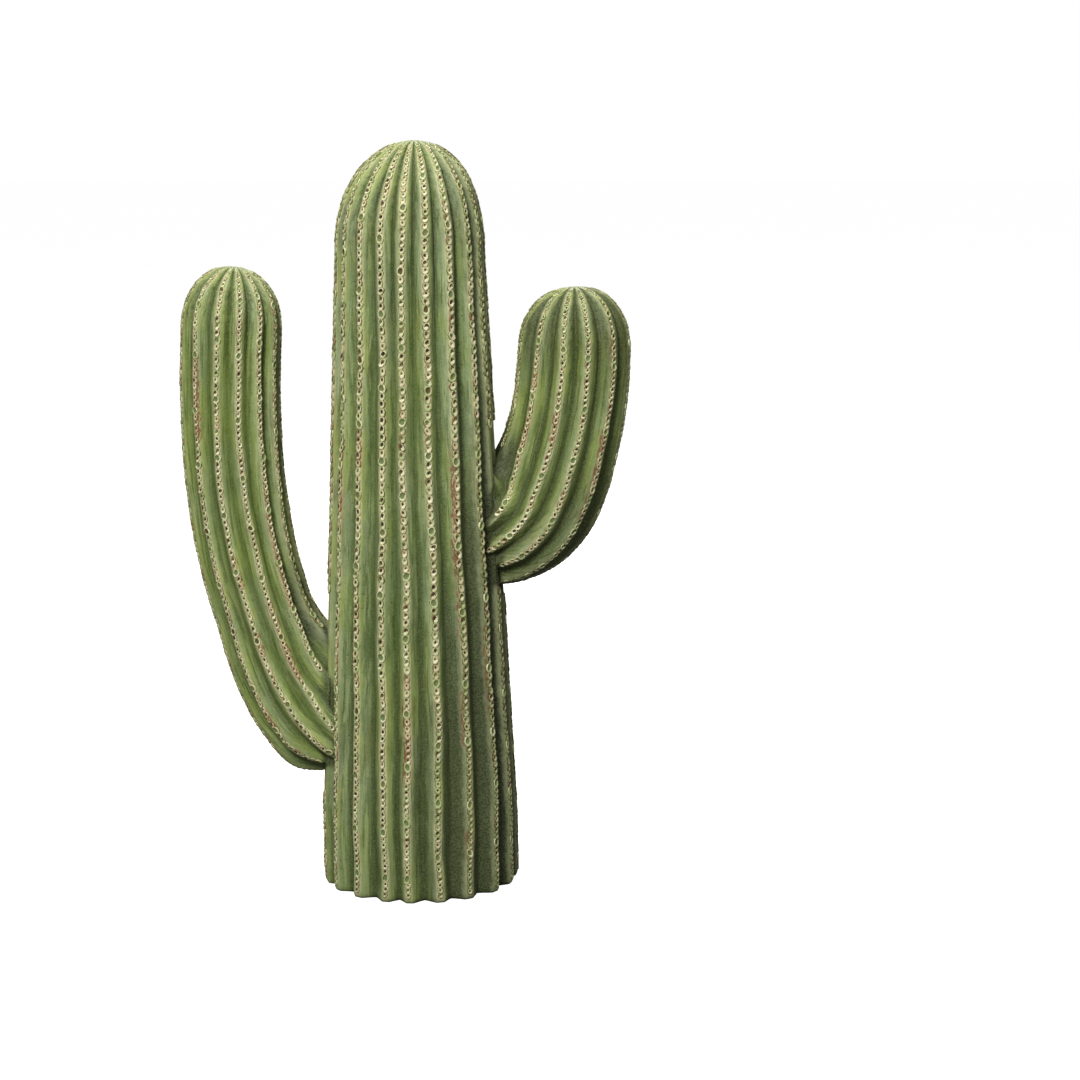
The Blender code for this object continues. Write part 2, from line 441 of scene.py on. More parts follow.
def duskOver(shape, at, sharpness, bearing):
    # Dark wash and painted shade lie thick in the grooves of a dome, and painted shade on the sides.
    # Layers of painted shade lie over the trunk's foot and the right arm, and most of all low on the
    # trunk's right side.
    heights = at["centre"][:, 2][:, None]
    turn = np.sin(np.radians(bearing))
    sideways = turn ** shadeAndWashAmounts["sidePower"] * (shadeAndWashAmounts["onSides"] + shadeAndWashAmounts["sideBalance"] * turn)
    sideways = sideways * (1.0 - shadeAndWashAmounts["domeSides"] * sharpness[:, None])
    right = np.cos(np.radians(bearing - shadeAndWashAmounts["darkestBearing"])) * 0.5 + 0.5
    dusk = shadeAndWashAmounts["base"] + shadeAndWashAmounts["onDome"] * sharpness[:, None]
    dusk = dusk + shape["sideShade"] * sideways + shape["moreShade"]
    for share, low, high, narrow in shape["shadeLayers"]:
        dusk = dusk + share * right ** narrow * (1.0 - smoothStep(low, high, heights))
    return dusk


def trunkGap(points, sheet, shape):
    # How far points lie outside the trunk's skin
    heights = sheet["rows"]["centre"][:, 2]
    first = int(np.argmax(heights > 0.0)) - 1
    heights = heights[first:]
    middle = np.interp(points[..., 2], heights, sheet["rows"]["centre"][first:, 0])
    away = np.hypot(points[..., 0] - middle, points[..., 1])
    bearing = np.degrees(np.arctan2(points[..., 0] - middle, -points[..., 1]))
    radius = np.interp(points[..., 2], heights, sheet["rows"]["radius"][first:])
    crests = crestBearings(shape)
    ring = np.concatenate((crests - 360.0, crests, crests + 360.0))
    after = np.clip(np.searchsorted(ring, bearing), 1, len(ring) - 1)
    along = (bearing - ring[after - 1]) / (ring[after] - ring[after - 1])
    share = np.where(along > 0.5, along - 1.0, along)
    drop = dropAt(share, 0.0, shape)
    return away - (radius - shape["ribDepth"] * drop)


meeting = {
    "insideFade": 0.003,  # metres inside the trunk, until nothing spreads any more
    "backPower": 2.5,  # holds the tuck at the back to the underside
    "grooveFill": 0.55,
    "innerPower": 1.5,
    "innerShade": 0.7,
    "crotchFade": 0.02,
    "crotchPower": 1.3,
    "seamShade": 1.5,
    "seamReach": 0.010,
    "seamPower": 1.5,
    "seamStart": -0.006,  # how deep in the trunk an arm's course starts to mark its seam
    "seamStep": 5,  # every so many points of the course
    "ringGap": 0.0030,  # the trunk's rings stop this far from an arm
}


def meetTrunk(sheet, shape, trunkSheet):
    # Where an arm meets the trunk the casting's skin spreads and its grooves fill up, and before
    # that the arm narrows a little. Its side next to the trunk gets painted shade, darkest in the
    # crotch.
    gap = trunkGap(sheet["points"], trunkSheet, trunkShape)
    toward = sheet["toward"]
    near = (1.0 - np.clip(gap / shape["webRise"], 0.0, 1.0)) ** 2
    near *= (1.0 - np.clip(-gap / meeting["insideFade"], 0.0, 1.0)) ** 2
    nearing = (1.0 - np.clip(gap / shape["tuckRise"], 0.0, 1.0)) ** shape["tuckPower"]
    front = np.clip(-toward[..., 1], 0.0, 1.0)
    above = np.clip(toward[..., 2], 0.0, 1.0)
    backward = np.where(toward[..., 1] > 0.0, meeting["backPower"], 1.0)
    below = np.clip(-toward[..., 2], 0.0, 1.0) ** backward
    groove = sheet["rows"]["radius"][:, None] - sheet["reach"]
    push = shape["webSpread"] * above * (1.0 - np.abs(toward[..., 1])) * near
    push += meeting["grooveFill"] * groove * near
    push -= (shape["tuckFront"] * front + shape["tuckUnder"] * below) * nearing
    push *= (sheet["closed"] == 1.0)[:, None]
    sheet["points"] = sheet["points"] + toward * push[..., None]
    gap = trunkGap(sheet["points"], trunkSheet, trunkShape)
    sheet["seam"] = seamAt(gap)
    inner = np.clip(-shape["side"] * toward[..., 0], 0.0, 1.0) ** meeting["innerPower"]
    crotchFull = shape["crotchLow"] + meeting["crotchFade"]
    crotch = smoothStep(shape["crotchLow"], crotchFull, sheet["points"][..., 2])
    inner = inner * (meeting["innerShade"] + shape["crotchShade"] * crotch)
    beside = (1.0 - np.clip(gap / shape["crotchReach"], 0.0, 1.0)) ** meeting["crotchPower"]
    sheet["dusk"] = sheet["dusk"] + inner * beside


def seamAt(gap):
    # Painted shade gathers in the seam between the arm and the trunk
    close = 1.0 - np.clip(gap / meeting["seamReach"], 0.0, 1.0)
    return meeting["seamShade"] * close ** meeting["seamPower"]


skinWork = {
    "mergeWithin": 0.000002,
    "reliefGroup": "relief",
    "reliefSpans": (  # (above this height, up to this height, how much of the relief)
        (0.0004, 0.003, 0.4), (0.003, math.inf, 1.0),
    ),
    "reliefCuts": {
        "handWork": {"size": 0.016, "depth": 0.0011},
        "castGrain": {"size": 0.0045, "depth": 0.00035},
    },
}


def readAll(items, name, width=1, kind=np.float32):
    values = np.empty(len(items) * width, kind)
    items.foreach_get(name, values)
    return values.reshape(-1, width) if width > 1 else values


def writeAttribute(mesh, name, values, kind="FLOAT", field="value"):
    made = mesh.attributes.new(name, kind, "POINT")
    made.data.foreach_set(field, values.reshape(-1).astype(np.float32))


def rollSkin(name, sheet):
    # A flat grid is rolled up into the stem, and its edges are merged into one closed skin
    points = sheet["points"]
    rows, columns = points.shape[:2]
    bpy.ops.object.select_all(action="DESELECT")
    bpy.ops.mesh.primitive_grid_add(x_subdivisions=columns - 1, y_subdivisions=rows - 1,
                                    size=1.0, location=(0.0, 0.0, 0.0))
    skin = bpy.context.object
    skin.name = name
    mesh = skin.data
    mesh.name = name
    mesh.vertices.foreach_set("co", points.reshape(-1).astype(np.float32))
    unrolled = sheet["unrolled"].reshape(-1, 2)[readAll(mesh.loops, "vertex_index", 1, np.int32)]
    layer = mesh.uv_layers[0]
    layer.name = "OFBake"
    layer.uv.foreach_set("vector", unrolled.astype(np.float32).ravel())
    rib = sheet["rib"]
    facts = {
        "ribHeight": sheet["ribHeight"],
        "crestGap": sheet["crestGap"],
        "ribSide": sheet["ribSide"],
        "dusk": sheet["dusk"] + sheet["seam"],
        "seam": sheet["seam"],
        "rowNumber": np.tile(np.arange(rows)[:, None], (1, columns)),
        "crestNumber": np.tile(np.where(sheet["share"] == 0.0, rib + 1, 0), (rows, 1)),
    }
    for mood, values in sheet["moods"].items():
        facts[mood] = values[:, rib]
    for fact, values in facts.items():
        writeAttribute(mesh, fact, values)
    writeAttribute(mesh, "grain", sheet["grain"], "FLOAT_VECTOR", "vector")
    bpy.ops.object.mode_set(mode="EDIT")
    bpy.ops.mesh.select_all(action="SELECT")
    bpy.ops.mesh.remove_doubles(threshold=skinWork["mergeWithin"])
    bpy.ops.mesh.select_all(action="SELECT")
    bpy.ops.mesh.normals_make_consistent(inside=False)
    bpy.ops.object.mode_set(mode="OBJECT")
    bpy.ops.object.shade_smooth()
    return skin


def roughen(skin):
    # Uneven as a hand-worked casting is, but flat where it stands
    heights = readAll(skin.data.vertices, "co", 3)[:, 2]
    group = skin.vertex_groups.new(name=skinWork["reliefGroup"])
    for low, high, weight in skinWork["reliefSpans"]:
        chosen = np.flatnonzero((heights > low) & (heights <= high))
        group.add([int(i) for i in chosen], weight, "REPLACE")
    for name, cut in skinWork["reliefCuts"].items():
        texture = bpy.data.textures.new(name, "CLOUDS")
        texture.noise_scale = cut["size"]
        texture.noise_depth = 2
        bumps = skin.modifiers.new(name, "DISPLACE")
        bumps.texture = texture
        bumps.texture_coords = "LOCAL"
        bumps.direction = "NORMAL"
        bumps.mid_level = 0.5
        bumps.strength = cut["depth"]
        bumps.vertex_group = skinWork["reliefGroup"]  # not group.name: applying frees the group
        bpy.ops.object.modifier_apply(modifier=name)
    skin.vertex_groups.clear()


def crestLines(skin, sheet):
    # Where each crest runs on the finished skin, with the way it faces
    mesh = skin.data
    places = readAll(mesh.vertices, "co", 3)
    normals = readAll(mesh.vertices, "normal", 3)
    rows = readAll(mesh.attributes["rowNumber"].data, "value")
    ribs = readAll(mesh.attributes["crestNumber"].data, "value")
    lines = []
    for rib in range(int(ribs.max())):
        chosen = np.flatnonzero(np.abs(ribs - rib - 1) < 0.1)
        chosen = chosen[np.argsort(rows[chosen])]
        place = rows[chosen]
        chosen = chosen[(place > sheet["firstRow"]) & (place < len(sheet["runs"]) - 2)]
        lines.append({"points": evened(places[chosen]), "normals": evened(normals[chosen]),
                      "rows": rows[chosen].astype(int), "rib": rib})
    for used in ("rowNumber", "crestNumber"):
        mesh.attributes.remove(mesh.attributes[used])
    return lines


def evened(values):
    padded = np.concatenate((values[:1], values[:1], values, values[-1:], values[-1:]))
    return sum(padded[i:i + len(values)] for i in range(5)) / 5.0


ringForms = {
    # Each step is (share of the ring's half width, share of its height, paint zone)
    "smallRing": {
        "corners": 8,
        "steps": ((1.0, -0.90, "skirt"), (0.96, 0.10, "skirt"), (0.86, 0.85, "skirt"),
                  (0.66, 1.00, "edge"), (0.40, 0.50, "wall"), (0.20, 0.10, "floor")),
    },
    "largeRing": {
        "corners": 12,
        "steps": ((1.0, -0.90, "skirt"), (0.97, 0.20, "skirt"), (0.93, 0.85, "edge"),
                  (0.76, 1.00, "edge"), (0.58, 0.40, "wall"), (0.30, 0.10, "floor")),
    },
}
zones = ("skirt", "edge", "rim", "wall", "lip", "floor")
litZones = {"edge": "rim", "wall": "lip"}  # the lighter zones that the lower right of a ring has instead, as a painted highlight
ringCut = {
    "litAside": 0.55,  # the way to the side with the painted highlight, across the rib and up it
    "litUp": -0.83,
    "litFrom": 0.10,  # how far to that side it starts, as a share of the ring's half width
    "rimWithin": 0.02,
}


def modelRing(name, form):
    # One ring: a disc, extruded up to its rim and down again to the floor of its hole
    steps = form["steps"]
    bpy.ops.object.select_all(action="DESELECT")
    bpy.ops.mesh.primitive_circle_add(vertices=form["corners"], radius=steps[0][0],
                                      fill_type="NGON", location=(0.0, 0.0, 0.0))
    ring = bpy.context.object
    ring.name = name
    bpy.ops.object.mode_set(mode="EDIT")
    bpy.ops.mesh.select_all(action="SELECT")
    for (wide, high, _), (nextWide, nextHigh, _) in zip(steps, steps[1:]):
        bpy.ops.mesh.extrude_region_move(
            TRANSFORM_OT_translate={"value": (0.0, 0.0, nextHigh - high)})
        bpy.ops.transform.resize(value=(nextWide / wide, nextWide / wide, 1.0))
    bpy.ops.mesh.select_all(action="SELECT")
    bpy.ops.transform.translate(value=(0.0, 0.0, steps[0][1]))
    bpy.ops.mesh.normals_make_consistent(inside=False)
    bpy.ops.object.mode_set(mode="OBJECT")
    corners = np.array([tuple(vert.co) for vert in ring.data.vertices])
    faces = []
    for face in ring.data.polygons:  # extruding orders them anew at each run, so they are sorted
        around = list(face.vertices)
        first = around.index(min(around))
        faces.append(tuple(around[first:] + around[:first]))
    faces.sort()
    painted = []
    for face in faces:
        inner = np.hypot(*corners[list(face), :2].T).min()
        step = min(range(len(steps)), key=lambda i: abs(steps[i][0] - inner))
        zone = steps[step][2]
        x, y = corners[list(face), :2].mean(axis=0)
        # Painted highlight: the rim and wall are lighter on a ring's lower right
        if ringCut["litAside"] * x + ringCut["litUp"] * y > ringCut["litFrom"]:
            zone = litZones.get(zone, zone)
        painted.append(zones.index(zone))
    bpy.data.objects.remove(ring, do_unlink=True)
    bore = np.hypot(corners[:, 0], corners[:, 1]) < steps[3][0] - ringCut["rimWithin"]
    return {"corners": corners, "faces": faces, "zones": painted, "bore": bore}


chain = {
    "trunk": {"pitch": (0.0055, 0.0060), "width": (0.0045, 0.0054), "height": 0.0011,
              "large": 0.0060, "largeEvery": (7, 10), "stopShort": 0.012,
              "shrinkFrom": 0.070, "overlap": 1.32,
              "crowding": ((0.0, 0.66), (0.09, 0.78), (0.19, 1.0), (0.40, 1.0), (0.52, 0.80))},
    "arm": {"pitch": (0.0040, 0.0048), "width": (0.0037, 0.0043), "height": 0.0009,
            "large": 0.0051, "largeEvery": (7, 11), "stopShort": 0.010, "shrinkFrom": 0.050,
            "overlap": 1.32, "crowding": ((0.0, 1.0), (1.0, 1.0))},
}

handPress = {  # how unevenly the rings are pressed in
    "boldness": (0.2, 0.9),  # on the ribs behind, as a share of the deepest
    "boldLength": 0.09,
    "boldDrift": 0.35,
    "boldSpread": 0.12,
    "firstGap": 0.1,  # of the pitch
    "shrinkAtPole": 0.45,
    "spacing": (0.92, 1.09),
    "crowdedWidth": 0.5,  # the power of the crowding that a ring's width follows
    "asideSpread": 0.00016,
    "widths": (0.90, 1.10),
    "turnSpread": 0.25,  # radians
    "heights": (0.8, 1.1),
    "largeSlant": (0.05, 0.15),
    "smallSlant": (0.10, 0.35),
    "boreFrom": 0.60,
    "boreGrowth": 0.38,
    "bores": (0.9, 1.1),
    "rustSpread": 0.25,
    "freshSpread": 0.3,
    "bent": 0.06,  # how far each corner is from its place, as a share of it
    "slantAside": 0.4,
    "lift": 0.12,
    "boreShift": (-0.06, 0.08),
}


def layChain(lines, sheet, sizes, bold, seed, clear):
    # Rings along each crest, touching one another, with a larger one after every seven or so
    rng = np.random.default_rng(seed)
    hand = handPress
    crests = np.flatnonzero(sheet["share"] == 0.0)
    crestColumns = {int(sheet["rib"][column]): int(column) for column in crests}
    rings = []
    for line in lines:
        points, normals = line["points"], line["normals"]
        steps = np.linalg.norm(np.diff(points, axis=0), axis=1)
        reached = np.concatenate(([0.0], np.cumsum(steps)))
        along = np.gradient(points, axis=0)
        pitch = rng.uniform(*sizes["pitch"])
        usual = rng.uniform(*sizes["width"])
        shown = line["rib"] < len(bold)
        boldness = bold[line["rib"]] if shown else rng.uniform(*hand["boldness"])
        boldDrift = drift(rng, reached, hand["boldLength"])
        # the painted shade along the crest, which darkens its rings' tints
        shadeAndWashAlong = sheet["dusk"][line["rows"], crestColumns[line["rib"]]]
        rust = sheet["moods"]["rust"][line["rows"], line["rib"]]
        fresh = sheet["moods"]["fresh"][line["rows"], line["rib"]]
        crowdedAt, crowding = np.array(sizes["crowding"]).T
        bare = [span[1:] for span in sheet["bareSpans"] if span[0] == line["rib"]]
        place = hand["firstGap"] * pitch
        untilLarge = int(rng.integers(2, sizes["largeEvery"][1]))
        while place < reached[-1] - sizes["stopShort"]:
            isLarge = untilLarge == 0
            nearPole = 1.0 - min(1.0, (reached[-1] - place) / sizes["shrinkFrom"])
            shrink = 1.0 - hand["shrinkAtPole"] * nearPole
            crowd = float(np.interp(place, crowdedAt, crowding))
            length = sizes["large"] if isLarge else crowd * pitch * rng.uniform(*hand["spacing"])
            length *= shrink
            shrink *= crowd ** hand["crowdedWidth"]
            place += length / 2
            at = [np.interp(place, reached, points[:, i]) for i in range(3)]
            facing = np.array([np.interp(place, reached, normals[:, i]) for i in range(3)])
            ahead = np.array([np.interp(place, reached, along[:, i]) for i in range(3)])
            facing /= np.linalg.norm(facing)
            ahead -= facing * ahead.dot(facing)
            ahead /= np.linalg.norm(ahead)
            aside = np.cross(ahead, facing)
            at = np.array(at) + aside * rng.normal(0.0, hand["asideSpread"])
            width = sizes["large"] if isLarge else usual * rng.uniform(*hand["widths"])
            turn = rng.normal(0.0, hand["turnSpread"])
            bolder = boldness + hand["boldDrift"] * float(np.interp(place, reached, boldDrift))
            bolder = min(1.0, max(0.0, bolder + rng.normal(0.0, hand["boldSpread"])))
            bore = hand["boreFrom"] + hand["boreGrowth"] * bolder
            ring = {
                "at": at,
                "ahead": ahead * math.cos(turn) + aside * math.sin(turn),
                "aside": aside * math.cos(turn) - ahead * math.sin(turn),
                "facing": facing,
                "length": length * sizes["overlap"], "width": width * shrink,
                "height": sizes["height"] * shrink * rng.uniform(*hand["heights"]),
                "large": isLarge,
                "slant": rng.uniform(*hand["largeSlant" if isLarge else "smallSlant"]),
                "bore": 1.0 if isLarge else bore * rng.uniform(*hand["bores"]),
                "rust": float(np.interp(place, reached, rust)) + rng.normal(0.0, hand["rustSpread"]),
                "fresh": (float(np.interp(place, reached, fresh))
                          + rng.normal(nearPole, hand["freshSpread"])),
                "bold": bolder,
                "dusk": float(np.interp(place, reached, shadeAndWashAlong)),
            }
            if clear(at) and not any(low < at[2] < high for low, high in bare):
                rings.append(ring)
            place += length / 2
            untilLarge = int(rng.integers(*sizes["largeEvery"])) if isLarge else untilLarge - 1
    return rings


def stampRings(name, form, rings, seed):
    # The rings as one mesh, each a little different from the next and with its own six tints
    rng = np.random.default_rng(seed)
    corners, faces = form["corners"], form["faces"]
    count = len(corners)
    places, allFaces, slots = [], [], []
    for i, ring in enumerate(rings):
        uneven = corners * (1.0 + rng.normal(0.0, handPress["bent"], corners.shape))
        sunk = uneven[:, 1] - handPress["slantAside"] * uneven[:, 0]  # its upper end lies lower
        uneven[:, 2] += handPress["lift"] - ring["slant"] * sunk
        uneven[form["bore"], :2] *= ring["bore"]
        uneven[form["bore"], :2] += handPress["boreShift"]
        places.append(ring["at"]
                      + np.outer(uneven[:, 0] * ring["width"] / 2, ring["aside"])
                      + np.outer(uneven[:, 1] * ring["length"] / 2, ring["ahead"])
                      + np.outer(uneven[:, 2] * ring["height"], ring["facing"]))
        allFaces += [tuple(corner + i * count for corner in face) for face in faces]
        tints = pickTints(ring, rng)
        slots += [paintNames.index(tints[zone]) for zone in form["zones"]]
    mesh = bpy.data.meshes.new(name)
    mesh.from_pydata(np.concatenate(places).tolist(), [], allFaces)
    for paint in ringPaints.values():
        mesh.materials.append(paint)
    mesh.polygons.foreach_set("material_index", slots)
    made = bpy.data.objects.new(name, mesh)
    bpy.context.scene.collection.objects.link(made)
    bpy.ops.object.select_all(action="DESELECT")
    made.select_set(True)
    bpy.context.view_layer.objects.active = made
    bpy.ops.object.mode_set(mode="EDIT")
    bpy.ops.mesh.select_all(action="SELECT")
    bpy.ops.mesh.normals_make_consistent(inside=False)
    bpy.ops.object.mode_set(mode="OBJECT")
    bpy.ops.object.shade_smooth()
    return made


def colour(red, green, blue):
    # A paint colour as seen on a screen, in the 8-bit numbers of a colour picker
    linear = []
    for value in (red, green, blue):
        share = value / 255.0
        linear.append(share / 12.92 if share <= 0.04045 else ((share + 0.055) / 1.055) ** 2.4)
    return (*linear, 1.0)


def addNode(tree, kind, **settings):
    made = tree.nodes.new(kind)
    for name, value in settings.items():
        setattr(made, name, value)
    return made


def plug(tree, source, socket):
    if hasattr(source, "is_linked"):
        tree.links.new(source, socket)
    else:
        socket.default_value = source


def sums(tree, operation, first, second=0.0):
    made = addNode(tree, "ShaderNodeMath", operation=operation)
    plug(tree, first, made.inputs[0])
    plug(tree, second, made.inputs[1])
    return made.outputs[0]


def spanned(tree, value, low, high, toLow=0.0, toHigh=1.0):
    made = addNode(tree, "ShaderNodeMapRange", interpolation_type="SMOOTHSTEP")
    for socket, source in zip(made.inputs, (value, low, high, toLow, toHigh)):
        plug(tree, source, socket)
    return made.outputs["Result"]


def overpaint(tree, below, above, amount, blend="MIX"):
    made = addNode(tree, "ShaderNodeMix", data_type="RGBA", blend_type=blend)
    plug(tree, amount, made.inputs["Factor"])
    plug(tree, below, made.inputs[6])
    plug(tree, above, made.inputs[7])
    return made.outputs[2]


def coat(tree, below, above, where, cover):
    # One more coat of paint, that hides as much as cover says where its mask is full
    return overpaint(tree, below, above, sums(tree, "MULTIPLY", where, cover))


def stretched(tree, vector, across, along):
    scale = addNode(tree, "ShaderNodeCombineXYZ")
    for socket, source in zip(scale.inputs, (across, across, along)):
        plug(tree, source, socket)
    made = addNode(tree, "ShaderNodeVectorMath", operation="MULTIPLY")
    plug(tree, vector, made.inputs[0])
    tree.links.new(scale.outputs[0], made.inputs[1])
    return made.outputs[0]


def noise(tree, vector, scale=1.0, detail=3.0):
    made = addNode(tree, "ShaderNodeTexNoise", noise_dimensions="3D")
    plug(tree, vector, made.inputs["Vector"])
    plug(tree, scale, made.inputs["Scale"])
    made.inputs["Detail"].default_value = detail
    made.inputs["Roughness"].default_value = 0.55
    return made.outputs["Fac"]


def newGroup(name, inputs, output):
    group = bpy.data.node_groups.new(name, "ShaderNodeTree")
    for socket, value in inputs.items():
        kind = "NodeSocketVector" if value is None else "NodeSocketFloat"
        made = group.interface.new_socket(name=socket, in_out="INPUT", socket_type=kind)
        if value is not None:
            made.default_value = value
    group.interface.new_socket(name=output, in_out="OUTPUT", socket_type="NodeSocketFloat")
    return group, group.nodes.new("NodeGroupInput").outputs, group.nodes.new("NodeGroupOutput")


def aroundMiddle(tree, value, given):
    low = sums(tree, "SUBTRACT", given["Middle"], given["Softness"])
    high = sums(tree, "ADD", given["Middle"], given["Softness"])
    return spanned(tree, value, low, high)


def brokenUp(tree, value, given, across, along):
    # A smooth value made ragged, as the edge of a brush mark is
    broken = noise(tree, stretched(tree, given["Grain"], across, along), 1.0, 4.0)
    broken = sums(tree, "MULTIPLY", sums(tree, "SUBTRACT", broken, 0.5), given["Break"])
    return sums(tree, "ADD", value, broken)


def makeStreaks():
    # Brush strokes that run along the stem
    tree, given, out = newGroup("brushStreaks", {"Grain": None, "Across": 500.0, "Along": 18.0,
                                                 "Middle": 0.5, "Softness": 0.2}, "Streak")
    value = noise(tree, stretched(tree, given["Grain"], given["Across"], given["Along"]))
    tree.links.new(aroundMiddle(tree, value, given), out.inputs["Streak"])
    return tree


def makePatches():
    # Broad uneven patches of another tone
    tree, given, out = newGroup("paintPatches", {"Place": None, "Scale": 20.0, "Middle": 0.5,
                                                 "Softness": 0.12}, "Patch")
    value = noise(tree, given["Place"], given["Scale"], 2.0)
    tree.links.new(aroundMiddle(tree, value, given), out.inputs["Patch"])
    return tree


def makeWash():
    # Dark wash run into the grooves, partly painted shade: all of it below Low, none above High
    tree, given, out = newGroup("grooveWashAndShade", {"Height": 0.0, "Grain": None, "Low": 0.1,
                                               "High": 0.5, "Break": 0.2}, "WashAndShade")
    value = brokenUp(tree, given["Height"], given, 220.0, 40.0)
    tree.links.new(spanned(tree, value, given["Low"], given["High"], 1.0, 0.0),
                   out.inputs["WashAndShade"])
    return tree


def makeWear():
    # Paint dragged over what stands out: all of it within Near of the crest, none past Far
    tree, given, out = newGroup("crestWear", {"Gap": 0.0, "Grain": None, "Near": 0.002,
                                              "Far": 0.004, "Break": 0.002}, "Wear")
    value = brokenUp(tree, given["Gap"], given, 520.0, 170.0)
    tree.links.new(spanned(tree, value, given["Near"], given["Far"], 1.0, 0.0),
                   out.inputs["Wear"])
    return tree


def makeSpecks():
    # Small flecks, most of them missing
    tree, given, out = newGroup("paintSpecks", {"Place": None, "Scale": 150.0, "Size": 0.16,
                                                "Cover": 0.6}, "Speck")
    cells = addNode(tree, "ShaderNodeTexVoronoi", feature="F1")
    plug(tree, given["Place"], cells.inputs["Vector"])
    plug(tree, given["Scale"], cells.inputs["Scale"])
    dots = spanned(tree, cells.outputs["Distance"], 0.0, given["Size"], 1.0, 0.0)
    some = addNode(tree, "ShaderNodeSeparateColor")
    tree.links.new(cells.outputs["Color"], some.inputs[0])
    kept = sums(tree, "GREATER_THAN", some.outputs[0], given["Cover"])
    tree.links.new(sums(tree, "MULTIPLY", dots, kept), out.inputs["Speck"])
    return tree


effects = {
    "streaks": makeStreaks(),
    "patches": makePatches(),
    "washAndShade": makeWash(),
    "wear": makeWear(),
    "specks": makeSpecks(),
}


def effect(tree, name, **values):
    made = addNode(tree, "ShaderNodeGroup", node_tree=effects[name])
    for socket, source in values.items():
        plug(tree, source, made.inputs[socket])
    return made.outputs[0]


def attribute(tree, name, output="Fac"):
    return addNode(tree, "ShaderNodeAttribute", attribute_name=name).outputs[output]


def newMaterial(name):
    material = bpy.data.materials.new(name)
    material.use_nodes = True
    return material, material.node_tree, material.node_tree.nodes["Principled BSDF"]


def addBump(tree, shader, level, finish):
    bump = addNode(tree, "ShaderNodeBump")
    bump.inputs["Strength"].default_value = finish["bump"]
    bump.inputs["Distance"].default_value = finish["bumpDepth"]
    tree.links.new(level, bump.inputs["Height"])
    tree.links.new(bump.outputs["Normal"], shader.inputs["Normal"])
    shader.inputs["Specular IOR Level"].default_value = finish["specular"]


skinPaint = {
    "leaf": colour(118, 138, 81),
    "fresh": colour(142, 160, 84),
    "cool": colour(130, 146, 112),
    "olive": colour(132, 124, 72),
    "streakLight": colour(176, 188, 132),
    "streakDark": colour(70, 88, 30),
    # valley and groove: dark wash that is partly painted shade; the two after them: painted shade
    "valley": colour(83, 102, 38),
    "groove": colour(50, 62, 25),
    "dusk": colour(54, 62, 31),
    "shade": colour(28, 33, 15),
    # besidePale: dry-brushed paint beside the band, and on its left side partly a painted highlight
    "besidePale": colour(182, 190, 144),
    "besideLime": colour(158, 172, 84),
    "crestCream": colour(206, 200, 154),
    "crestGreen": colour(176, 184, 128),
    "crestPink": colour(200, 180, 138),
    "rust": colour(128, 78, 50),
    "speck": colour(44, 48, 26),
}

skins = {
    # bandHalf: half the width of the cream band. rustLeft: how much rust is left of each chain.
    "trunkSkin": {"freshMiddle": 0.50, "coolMiddle": 0.52, "coolDrift": 0.09,
                  "bandHalf": 0.0029, "rustLeft": 0.95, "tint": colour(255, 255, 252)},
    "leftArmSkin": {"freshMiddle": 0.46, "coolMiddle": 0.58, "coolDrift": 0.09,
                    "bandHalf": 0.0024, "rustLeft": 0.10, "tint": colour(252, 252, 236)},
    "rightArmSkin": {"freshMiddle": 0.50, "coolMiddle": 0.56, "coolDrift": 0.09,
                     "bandHalf": 0.0024, "rustLeft": 0.90, "tint": colour(248, 248, 228)},
}

patchLooks = {  # how many there are to a metre, across and along the stem
    "fresh": {"across": 26.0, "along": 11.0, "softness": 0.14},
    "cool": {"across": 34.0, "along": 14.0, "softness": 0.10},
    "olive": {"across": 90.0, "along": 22.0, "softness": 0.08},
    "lime": {"across": 70.0, "along": 24.0, "softness": 0.10},
    "crestGreen": {"across": 90.0, "along": 40.0, "softness": 0.08},
}

bandEdges = {  # metres past the cream band, to where a paint is whole and to where it ends
    "beside": {"whole": 0.0, "end": 0.0034, "ragged": 0.0040},
    "crest": {"whole": -0.0004, "end": 0.0006, "ragged": 0.0012},
    "rust": {"whole": 0.0006, "end": 0.0016, "ragged": 0.0022},
}

strokes = (  # brush strokes: (across, along, cover of the light ones, cover of the dark ones)
    (250.0, 10.0, 0.54, 0.64), (700.0, 24.0, 0.58, 0.70),
)
darkSpacing = (0.83, 0.8)  # the dark strokes' across and along, as shares of the light ones'

cover = {  # how much of each coat shows where its mask is full
    "cool": 0.75,
    "olive": 0.45,
    "valley": 0.66,
    "groove": 0.82,
    "dusk": 0.92,
    "shade": 0.75,
    "grit": 0.16,
    "pits": 0.20,
    "paleLeft": 0.42,
    "paleRight": 0.34,
    "limeRight": 0.70,
    "rustLine": 0.9,
    "specks": 0.70,
}

skinSpans = {  # (a value's low end, its high end, and what each becomes if not 0 and 1)
    "dusk": (0.85, 1.75),
    "shade": (1.95, 3.3),
    "clearOfSeam": (0.05, 0.70, 1.0, 0.05),
    "toLeft": (-0.05, 0.05, 1.0, 0.0),
    "rust": (0.15, 0.75),
    "stained": (0.35, 0.95),
    "crestInShade": (1.10, 2.10, 0.92, 0.42),
    "mottle": (0.0, 1.0, 0.55, 1.0),
    "roughness": (0.0, 1.0, 0.50, 0.68),
}

grooveReach = {"grows": 0.38, "start": 0.07, "most": 0.66}  # how far up a rib, by its painted shade

skinFinish = {"bump": 0.35, "bumpDepth": 0.0006, "specular": 0.35, "strokes": 0.7, "pores": 0.5}


def patchesOf(tree, grain, kind, middle):
    look = patchLooks[kind]
    return effect(tree, "patches", Place=stretched(tree, grain, look["across"], look["along"]),
                  Scale=1.0, Middle=middle, Softness=look["softness"])


